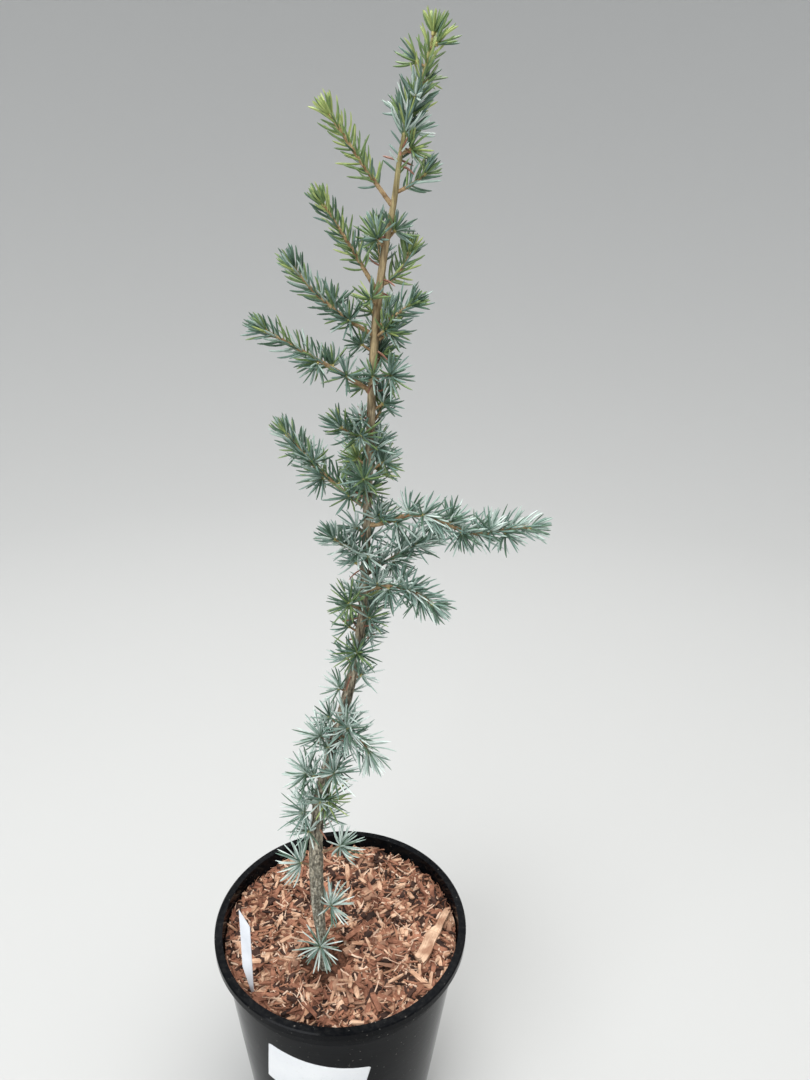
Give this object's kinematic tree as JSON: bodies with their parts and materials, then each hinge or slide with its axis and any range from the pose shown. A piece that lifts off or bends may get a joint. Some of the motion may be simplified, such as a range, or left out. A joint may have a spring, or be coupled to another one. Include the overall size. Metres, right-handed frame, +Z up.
{
  "type": "potted young atlas cedar tree",
  "caption": "Young blue cedar with a slender bent trunk, short side boughs and rosettes of needles, in a round black nursery pot topped with wood chips.",
  "frame": {"origin": "middle of the pot's flat underside, which stands on the ground", "axes": "+Z up along the pot and the tree, -Y towards the side with the label, +X to the right as seen from there"},
  "size_m": [0.2557, 0.216, 0.8937],
  "materials": {
    "pot_plastic": "gloss",
    "potting_mix": "matt, crumbly",
    "wood_chips": "matt, torn fibre",
    "label": "satin, bare",
    "tag": "satin, bare",
    "bark": "rough bark",
    "shoot_bark": "smooth young bark",
    "blue_needles": "waxy, satin",
    "fresh_needles": "waxy, satin"
  },
  "bodies": {
    "root": {"bough_left_1": "shoot_bark", "bough_left_2": "shoot_bark", "bough_left_3": "shoot_bark", "bough_left_4": "shoot_bark", "bough_left_6": "shoot_bark", "bough_right_5": "shoot_bark", "bough_right_6": "shoot_bark", "bough_right_7": "shoot_bark", "needles_back_1": "fresh_needles", "needles_back_2": "blue_needles", "needles_back_3": "blue_needles", "needles_back_4": "blue_needles", "needles_leader_1": "fresh_needles", "needles_leader_2": "fresh_needles", "needles_leader_3": "fresh_needles", "needles_leader_4": "fresh_needles", "needles_leader_5": "fresh_needles", "needles_leader_6": "fresh_needles", "needles_leader_tip": "fresh_needles", "needles_left_1": "fresh_needles", "needles_left_2": "fresh_needles", "needles_left_3": "blue_needles", "needles_left_4": "blue_needles", "needles_left_5": "blue_needles", "needles_left_6": "blue_needles", "needles_left_7": "blue_needles", "needles_low_1": "blue_needles", "needles_low_10": "blue_needles", "needles_low_2": "blue_needles", "needles_low_3": "blue_needles", "needles_low_4": "blue_needles", "needles_low_5": "blue_needles", "needles_low_6": "blue_needles", "needles_low_7": "blue_needles", "needles_low_8": "blue_needles", "needles_low_9": "blue_needles", "needles_middle_1": "blue_needles", "needles_middle_2": "blue_needles", "needles_middle_3": "blue_needles", "needles_middle_4": "blue_needles", "needles_middle_5": "blue_needles", "needles_middle_6": "blue_needles", "needles_middle_7": "blue_needles", "needles_right_1": "fresh_needles", "needles_right_2": "fresh_needles", "needles_right_3": "blue_needles", "needles_right_4": "blue_needles", "needles_right_5": "blue_needles", "needles_right_6": "blue_needles", "needles_right_7": "blue_needles", "needles_right_8": "blue_needles", "needles_top_1": "fresh_needles", "needles_top_2": "fresh_needles", "needles_top_3": "fresh_needles", "plant_tag": "tag", "pot": "pot_plastic", "pot_label": "label", "potting_mix": "potting_mix", "trunk": "bark", "wood_chips": "wood_chips"}
  },
  "joints": []
}
